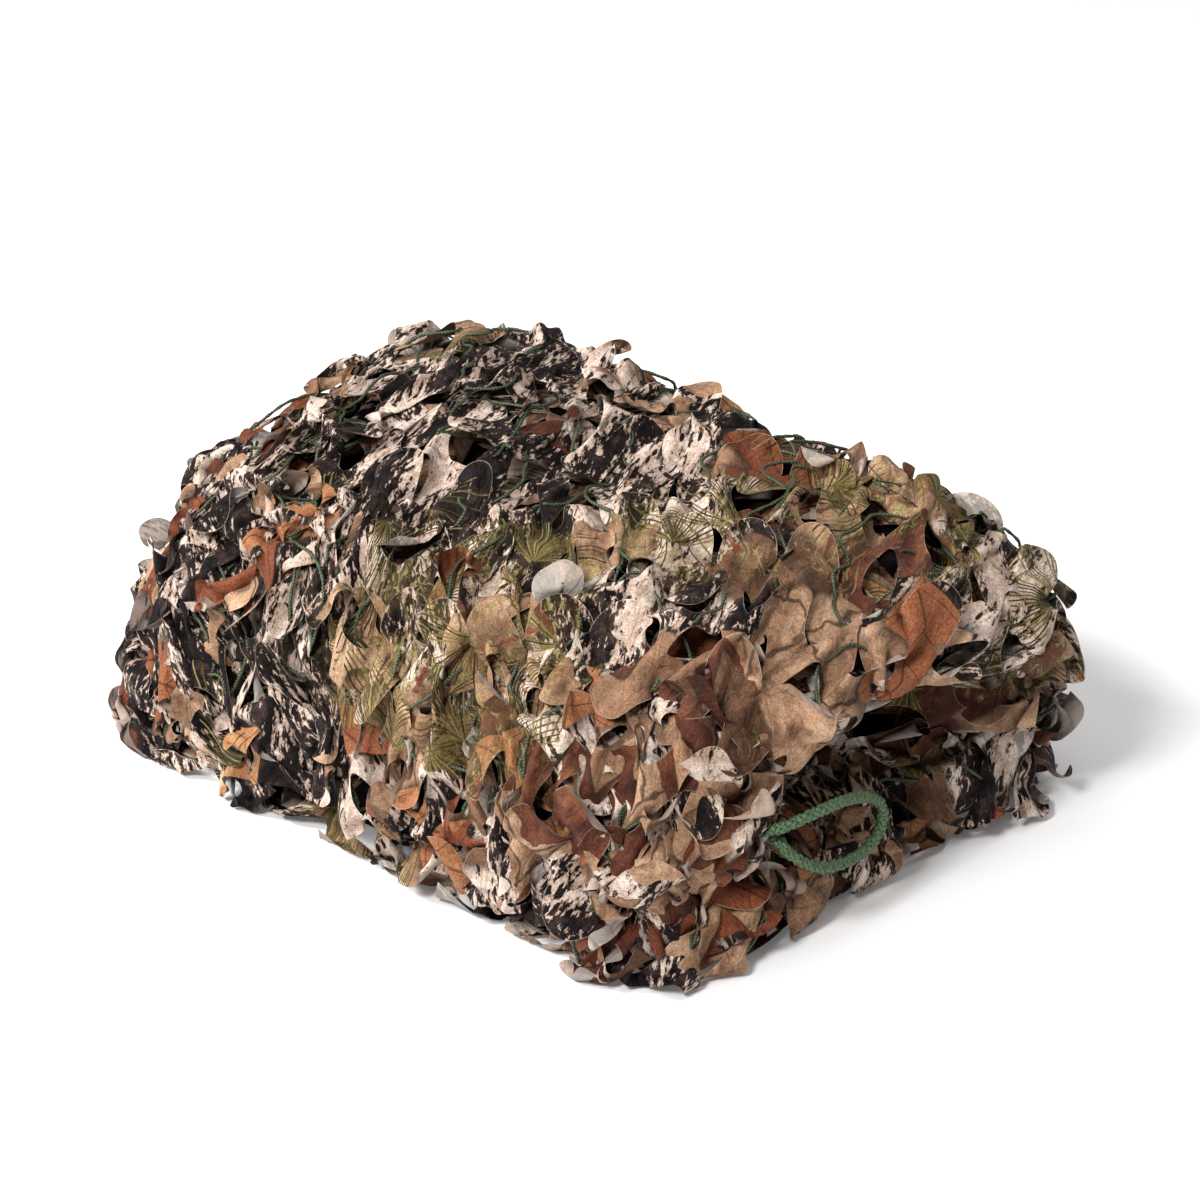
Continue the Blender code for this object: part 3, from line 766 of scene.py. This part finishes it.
def cut_cells(rng, scale, open_by, half_across, half_up, covered):
    """The cells whose centres are covered: vertex numbers by place in the lattice, one for each side of a
    cut, then the vertices' places on the flat cloth, the faces, how far each vertex is lifted and drawn back,
    and whether it lies on a cut."""
    ranges = (ARCH_HALF_WIDTH, ARCH_TOP_HEIGHT, ARCH_FOOT_HEIGHT, ARCH_LEAN)
    cells = [arched_cell(scale, *[rng.uniform(*ends) for ends in ranges]) for _ in range(CELL_KINDS)]
    width, length = CELL_WIDTH * scale, CELL_LENGTH * scale
    columns = np.arange(-half_across, half_across)
    number, flat, faces, lift, rim = {}, [], [], [], []
    for up in range(-half_up, half_up):
        mirrored = up % 2 == 1
        shift = CELL_ACROSS // 2 if mirrored else 0
        corner = np.stack([(columns + shift / CELL_ACROSS) * width, np.full(len(columns), up * length)], 1)
        for k in np.flatnonzero(covered(corner + np.array([width / 2, length / 2]))):
            across = int(columns[k]) * CELL_ACROSS + shift
            cell = cells[rng.integers(len(cells))]
            tilts = [rng.uniform(*TUCKED_TILT), rng.triangular(*OPEN_TILT, WIDEST_TILT[mirrored])]
            tucked = TUCKED_SHARE[mirrored]
            tilt = math.radians(open_by * rng.choice(tilts, p=[tucked, 1 - tucked]))
            curl = rng.normal(*CURL)
            for i, j in product(range(CELL_ACROSS), range(CELL_UP)):
                under = ARCH_LEFT <= i < ARCH_RIGHT and ARCH_FOOT <= j < ARCH_TOP
                quad = []
                for a, b in ((i, j), (i + 1, j), (i + 1, j + 1), (i, j + 1)):
                    row = CELL_UP - b if mirrored else b
                    key = (across + a, up * CELL_UP + row, under and (a, b) in cut)
                    if key not in number:
                        number[key] = len(flat)
                        x, y = cell[a, b]
                        in_tongue = under and b > ARCH_FOOT
                        away = max(0.0, y - cell[ARCH_LEFT, ARCH_FOOT][1]) if in_tongue else 0.0
                        y = length - y if mirrored else y
                        flat.append((x + corner[k][0], y + corner[k][1]))
                        bend = tilt * (BEND_AT_FOOT + BEND_TO_TIP * away / length)
                        aside = (x - width / 2) / width * 3
                        rise = away * math.sin(bend)
                        rise += curl * (aside**2 - CURL_LEVEL) * min(1, away / CURL_FULL_AT)
                        lift.append((rise, away * (1 - math.cos(bend)) * (-1 if mirrored else 1)))
                        rim.append(float((a, b) in cut))
                    quad.append(number[key])
                faces.append(quad[::-1] if mirrored else quad)
    return number, np.array(flat), np.array(faces), np.array(lift), np.array(rim)


def relaxed(places, flat, faces, pinned, inside, outside, rng):
    """Places after the cloth's threads, bias and bending have pulled it to its own size between the pins."""
    edges = np.vstack([faces[:, [k, (k + 1) % 4]] for k in range(4)])
    diagonals = faces[:, [[0, 2], [1, 3]]].reshape(-1, 2)
    beyond = {}
    for a, b, c, d in faces.tolist():
        for kind, start, end in ((0, a, b), (0, d, c), (1, a, d), (1, b, c)):
            beyond[kind, start] = beyond.get((kind, start), set()) | {end}
    bends = [
        (start, far)
        for (kind, start), ends in beyond.items()
        for end in ends
        for far in beyond.get((kind, end), ())
    ]
    pairs, stiffness = [], []
    groups = ((edges, THREAD_STIFFNESS), (diagonals, BIAS_STIFFNESS), (np.array(bends), BEND_STIFFNESS))
    for group, stiff in groups:
        group = np.unique(np.sort(group, axis=1), axis=0)
        pairs.append(group)
        stiffness.append(np.full(len(group), stiff))
    pairs, stiffness = np.vstack(pairs), np.concatenate(stiffness)
    length = np.linalg.norm(flat[pairs[:, 0]] - flat[pairs[:, 1]], axis=1)
    free = np.where(pinned, 0.0, 1.0)
    batches, left = [], np.arange(len(pairs))  # no vertex is twice in a batch, so a batch moves at once
    while len(left) and len(batches) < MOST_BATCHES:
        turn = rng.permutation(len(left))
        first = np.full(len(flat), len(pairs))
        np.minimum.at(first, pairs[left, 0], turn)
        np.minimum.at(first, pairs[left, 1], turn)
        alone = (first[pairs[left, 0]] == turn) & (first[pairs[left, 1]] == turn)
        chosen = left[alone]
        a, b = pairs[chosen].T
        share = np.maximum(free[a] + free[b], 1e-9)
        batches.append((a, b, length[chosen], stiffness[chosen], free[a] / share, free[b] / share))
        left = left[~alone]
    held = places[pinned].copy()
    for _ in range(ROUNDS):
        places[:, 2] -= SAG * free
        for a, b, rest, stiff, move_a, move_b in batches:
            gap = places[b] - places[a]
            size = np.sqrt((gap * gap).sum(axis=1))
            pull = (stiff * (size - rest) / size)[:, None] * gap
            places[a] += move_a[:, None] * pull
            places[b] -= move_b[:, None] * pull
        places = kept_near(places, inside, outside)
        places[pinned] = held
    return places


def leaf_cut_sheet(name, lay, middle, size, scale, turned, depth, open_by, splits, seed):
    """A sheet of cloth that covers size metres of the lay around its middle; gives back its sewn points."""
    rng = np.random.default_rng(seed)
    width, length = CELL_WIDTH * scale, CELL_LENGTH * scale
    spin = np.array([[math.cos(turned), math.sin(turned)], [-math.sin(turned), math.cos(turned)]])

    def spread(points):
        """From the flat cloth to the lay's own two directions."""
        points = points * np.array([BUNCHED, 1.0]) @ spin + np.array(middle)
        wander = [waves(points, SPREAD_WANDER_PACE, seed + 1), waves(points, SPREAD_WANDER_PACE, seed + 2)]
        return points + SPREAD_WANDER * np.stack(wander, axis=1)

    def covered(points):
        return np.all(np.abs(spread(points) - np.array(middle)) < np.array(size) / 2, axis=1)

    half_across = int(math.hypot(*size) / 2 / width / BUNCHED) + 2
    half_up = int(math.hypot(*size) / 2 / length) + 2
    number, flat, faces, lift, rim = cut_cells(rng, scale, open_by, half_across, half_up, covered)
    sewn = {}
    for (a, b, _), vertex in number.items():
        column, aside = divmod(a - b // CELL_UP % 2 * CELL_ACROSS // 2, CELL_ACROSS)
        if aside == 0 and b % CELL_UP == CELL_UP // 2:
            sewn[column, b // CELL_UP] = vertex
    pinned = np.zeros(len(flat), bool)
    pinned[list(sewn.values())] = True

    start = spread(flat - lift * np.array([0.0, 1.0]))
    here = lay(start)
    one_way, other_way = lay(start + (SLOPE_STEP, 0)) - here, lay(start + (0, SLOPE_STEP)) - here
    outward = unit(np.cross(one_way, other_way))
    outward *= np.sign(np.sum(outward * (here - MIDDLE), axis=1, keepdims=True))
    height = np.full(len(flat), -depth)
    for more, (rise, per_metre) in enumerate(UNDULATIONS, 3):
        height += rise * waves(start, per_metre, seed + more)
    height += lift[:, 0]
    height -= KNOT_SINK * pinned
    inside, outside = depth + PLY_SINK, PLY_LIFT - depth
    places = kept_near(here + outward * height[:, None], inside, outside)
    places = relaxed(places, flat, faces, pinned, inside, outside, rng)

    mesh = bpy.data.meshes.new(name)
    mesh.from_pydata(places.tolist(), [], faces.tolist())
    mesh.shade_smooth()
    uv = mesh.uv_layers.new(name="flat")
    vertex = np.empty(len(mesh.loops), np.int32)
    mesh.loops.foreach_get("vertex_index", vertex)
    offset = rng.uniform(0, 5, 2)  # so that no two sheets have the same part of the print
    uv.data.foreach_set("uv", (flat + offset)[vertex].astype(np.float32).ravel())
    x, y = places[:, 0] + PRINT_WANDER * waves(places, PRINT_WANDER_PACE, 5), places[:, 1]
    from_band = (x - BAND_PLACE[0]) * BAND_WAY[0] + (y - BAND_PLACE[1]) * BAND_WAY[1]
    needle_share = np.exp(-((from_band / BAND_HALF_WIDTH) ** 2)) * (places[:, 2] > BAND_FLOOR)
    low = np.clip(1 - places[:, 2] / LOW_UNDER, 0, 1)
    bark_share = BARK_MEAN - BARK_LEFTWARD * x - BARK_FORWARD * y
    bark_share = bark_share - BARK_LOST_TO_NEEDLES * needle_share + BARK_LOW * low
    bark_share = np.clip(bark_share, *BARK_RANGE) + BARK_WANDER * waves(places, BARK_WANDER_PACE, 9)
    for kind, share in (("cut_edge", rim), ("bark_share", bark_share), ("needle_share", needle_share)):
        mesh.attributes.new(kind, "FLOAT", "POINT").data.foreach_set("value", share.astype(np.float32))
    mesh.materials.append(printed_cloth)
    piece = bpy.data.objects.new(name, mesh)
    bpy.context.scene.collection.objects.link(piece)
    if splits:
        finer = piece.modifiers.new("finer", "SUBSURF")
        finer.levels = finer.render_levels = splits

    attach(piece, "root")
    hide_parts("folded_net")
    return {at: places[vertex] for at, vertex in sewn.items()}


# Each sheet's name and lay, its middle and size on that, the size of its cells, its turn in radians, its
# depth in the bundle, how wide its tongues open, how often its quads are split, and its seed.
round_way = outline_arc[-1]
sheets = [
    ("top_ply", over_top, (-0.01, 0.0), (0.62, 0.50), 0.95, 3.55, -0.004, 0.95, 1, 11),
    ("front_ply", round_side, (round_way * 0.80, 0.089), (0.62, 0.170), 0.93, 0.30, -0.002, 1.0, 1, 12),
    ("end_ply", round_side, (round_way * 1.02, 0.089), (0.50, 0.170), 1.10, -0.35, -0.002, 1.0, 1, 13),
    ("back_ply", round_side, (round_way * 0.42, 0.089), (0.80, 0.170), 1.0, 0.9, -0.002, 1.0, 1, 14),
    ("second_top_ply", over_top, (0.01, 0.0), (0.60, 0.46), 1.0, 2.2, 0.019, 0.9, 0, 21),
    ("second_front_ply", round_side, (round_way * 0.80, 0.085), (0.62, 0.20), 1.0, 1.9, 0.021, 1.0, 0, 22),
    ("second_end_ply", round_side, (round_way * 1.02, 0.085), (0.50, 0.20), 1.0, 2.6, 0.021, 1.0, 0, 23),
    ("second_back_ply", round_side, (round_way * 0.42, 0.085), (0.80, 0.20), 1.0, 1.2, 0.021, 1.0, 0, 24),
]
knots = [leaf_cut_sheet(*sheet) for sheet in sheets]


# --- The netting ----------------------------------------------------------------------------------
# Twisted polyester twine in a diamond mesh, to which the cloth is sewn. Each twine runs from one sewn point
# to the next and is knotted at both, so it isn't a free cord. Some cross twines, which lie out of sight, are
# left out.

TWINE_WIDTH = 0.0021
TWINE_THICKNESS = 0.0015
TWINE_TWIST = 0.0085  # along the twine, for half a turn of its flat side
TWINE_STEP = 0.0021
TWINE_SIDES = 6
TWINE_SLACK = 1.15
TWINE_DEEPEST, TWINE_HIGHEST = 0.022, 0.005  # under and over the bundle's surface
HIDDEN_SHARE = 0.35  # of the cross twines
SWING_ASIDE, SWING_OUT = 0.012, (-0.018, 0.003)
WANDER_ASIDE = 0.003

# Twisted polyester: matt dark green, with painted shade in the groove between its plies as a near-black line,
# and each ply painted lighter towards its crown as painted light. The grooves are 2 mm apart along the twine.
TWINE_GREEN_AND_GROOVE_SHADE = [(0.02, "#080b06"), (0.2, "#1e2716"), (0.38, "#3d4a2d"), (0.5, "#66724d")]

twine_green = bpy.data.materials.new("twisted_polyester_twine")
twine_green.use_nodes = True
tree = twine_green.node_tree
shader = tree.nodes["Principled BSDF"]
along = add(tree, "UVMap", {}, uv_map="along")
part = add(tree, "SeparateXYZ", {"Vector": along}).node
ply = {0: part.outputs["X"], 1: 2 / TWINE_TWIST, 2: part.outputs["Y"]}
ply = add(tree, "Math", ply, operation="MULTIPLY_ADD")
ply = add(tree, "Math", {0: ply, 1: 2.0}, operation="MULTIPLY")
ply = add(tree, "Math", {0: ply, 1: 0.5}, operation="PINGPONG")
# painted shade in the grooves between plies and painted light on the plies' crowns
green = add(tree, "ValToRGB", {"Fac": ply}, TWINE_GREEN_AND_GROOVE_SHADE)
tree.links.new(green, shader.inputs["Base Color"])
shader.inputs["Roughness"].default_value = 0.6

rng = np.random.default_rng(77)
for name, at in zip(("top", "front", "end", "back"), knots):
    twines = []
    for (column, row), start in at.items():
        ahead = (column, row + 1)
        aside = (column + (1 if row % 2 else -1), row + 1)
        for there in (ahead, aside):
            if there not in at or (there == aside and rng.random() < HIDDEN_SHARE):
                continue
            end = at[there]
            out = unit((start + end) / 2 - MIDDLE)
            gap = np.linalg.norm(end - start)
            sideways = np.cross(unit(end - start), out)
            swing = sideways * rng.normal(0, SWING_ASIDE) + out * rng.uniform(*SWING_OUT)
            t = np.linspace(0, 1, max(5, int(gap * TWINE_SLACK / TWINE_STEP)))[:, None]
            wander = sideways * rng.normal(0, WANDER_ASIDE) * np.sin(t * 3 * math.pi)
            line = start * (1 - t) + end * t + swing * np.sin(t * math.pi) + wander
            line = kept_near(line, TWINE_DEEPEST, TWINE_HIGHEST)
            across, up = frames_along(line)
            run = np.append(0, np.cumsum(np.linalg.norm(np.diff(line, axis=0), axis=1)))
            turn = run / TWINE_TWIST * math.pi + rng.uniform(0, 3)
            facing = np.cos(turn)[:, None] * across + np.sin(turn)[:, None] * up
            shape = tube(line, TWINE_WIDTH, TWINE_THICKNESS, facing, TWINE_SIDES)
            round_it = np.tile(np.arange(TWINE_SIDES) / TWINE_SIDES, len(line))
            twines.append((shape, np.stack([np.repeat(run, TWINE_SIDES), round_it], axis=1)))
    netting = joined_tubes(f"netting_{name}", twines)
    netting.data.materials.append(twine_green)
    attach(netting, "root")
    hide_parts("folded_net")


# --- The inner plies ------------------------------------------------------------------------------
# The same cloth, folded further in, of which only darkness shows through the holes. It is one plain shell
# with no print, coloured near-black as painted shade, far enough under the surface for both cut plies to lie
# over it, and its foot is on the floor.

INNER_DEPTH = 0.034
INNER_FOOT = 0.001
RAY_STRIDE = 2
FIRST_ARC, ARC_STRIDE = 8, 4
WELD = 0.0002

inner_rays = np.arange(0, RAYS_ROUND, RAY_STRIDE)
inner_arcs = np.arange(FIRST_ARC, ARC_STEPS, ARC_STRIDE) * ARC_STEP
ray, arc = (side.ravel() for side in np.meshgrid(inner_rays, inner_arcs, indexing="ij"))
places = on_bundle(ray / RAYS_ROUND * 2 * math.pi, np.minimum(arc, foot_arc[ray]))
inward = places - MIDDLE
inward[:, 2] = np.maximum(inward[:, 2], 0)
places -= unit(inward) * INNER_DEPTH
places[arc > foot_arc[ray], 2] = INNER_FOOT
at = np.arange(len(ray)).reshape(len(inner_rays), len(inner_arcs))
after = np.roll(at, -1, 0)
quads = np.stack([at[:, :-1], at[:, 1:], after[:, 1:], after[:, :-1]], -1).reshape(-1, 4)
mesh = bpy.data.meshes.new("inner_plies_painted_shade")
mesh.from_pydata(places.tolist(), [], [*quads.tolist(), at[:, 0].tolist()])
whole = bmesh.new()
whole.from_mesh(mesh)
bmesh.ops.remove_doubles(whole, verts=whole.verts, dist=WELD)
inner_side = math.sqrt(sum(face.calc_area() for face in whole.faces))
whole.to_mesh(mesh)
whole.free()
mesh.shade_smooth()
inner = bpy.data.objects.new("inner_plies_painted_shade", mesh)
bpy.context.scene.collection.objects.link(inner)

# Painted shade: polyester deep in the fold coloured a plain near-black brown for the shade that falls there,
# so dark and matt that no shape can be made out on it.
painted_shade_cloth = bpy.data.materials.new("painted_shade_polyester")
painted_shade_cloth.use_nodes = True
shader = painted_shade_cloth.node_tree.nodes["Principled BSDF"]
# painted shade colour, not the cloth's print
shader.inputs["Base Color"].default_value = colour("#1d1817")
shader.inputs["Roughness"].default_value = 0.9
shader.inputs["Specular IOR Level"].default_value = 0.0
mesh.materials.append(painted_shade_cloth)

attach(inner, "root")
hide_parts("folded_net")


# --- The studio -----------------------------------------------------------------------------------
# White paper under the net, which glows a little so that it comes out white, two softboxes from the left and
# the front, which cast the shadow to the right, and weak ones above and behind.

PAPER_SIZE, PAPER_HEIGHT = 14, -0.0005
PAPER_GLOW = 0.07
ROOM_LIGHT = 0.08
AIM = Vector((0, 0, 0.1))

bpy.ops.mesh.primitive_plane_add(size=PAPER_SIZE, location=(0, 0, PAPER_HEIGHT))
floor = bpy.context.object
floor.name = "studio_floor"
paper = bpy.data.materials.new("white_paper")
paper.use_nodes = True
shader = paper.node_tree.nodes["Principled BSDF"]
shader.inputs["Base Color"].default_value = colour("#f4f4f4")
shader.inputs["Roughness"].default_value = 0.9
shader.inputs["Specular IOR Level"].default_value = 0.1
shader.inputs["Emission Color"].default_value = (1, 1, 1, 1)
shader.inputs["Emission Strength"].default_value = PAPER_GLOW
floor.data.materials.append(paper)

world = bpy.data.worlds.new("white_studio")
world.use_nodes = True
background = world.node_tree.nodes["Background"]
background.inputs["Color"].default_value = (1, 1, 1, 1)
background.inputs["Strength"].default_value = ROOM_LIGHT
bpy.context.scene.world = world

softboxes = [  # name, place, side in metres and watts
    ("window_left", (-1.8, -1.7, 1.7), 0.7, 100),
    ("window_front", (0.9, -2.3, 2.2), 0.7, 95),
    ("overhead", (0.4, -0.4, 2.4), 1.6, 24),
    ("rear_fill", (0.5, 2.6, 1.9), 1.6, 24),
]
for name, place, side, watts in softboxes:
    lamp = bpy.data.objects.new(name, bpy.data.lights.new(name, "AREA"))
    lamp.data.shape = "SQUARE"
    lamp.data.size = side
    lamp.data.energy = watts
    lamp.location = place
    lamp.rotation_euler = (AIM - Vector(place)).to_track_quat("-Z", "Y").to_euler()
    bpy.context.scene.collection.objects.link(lamp)
bpy.context.scene.view_settings.view_transform = "Standard"
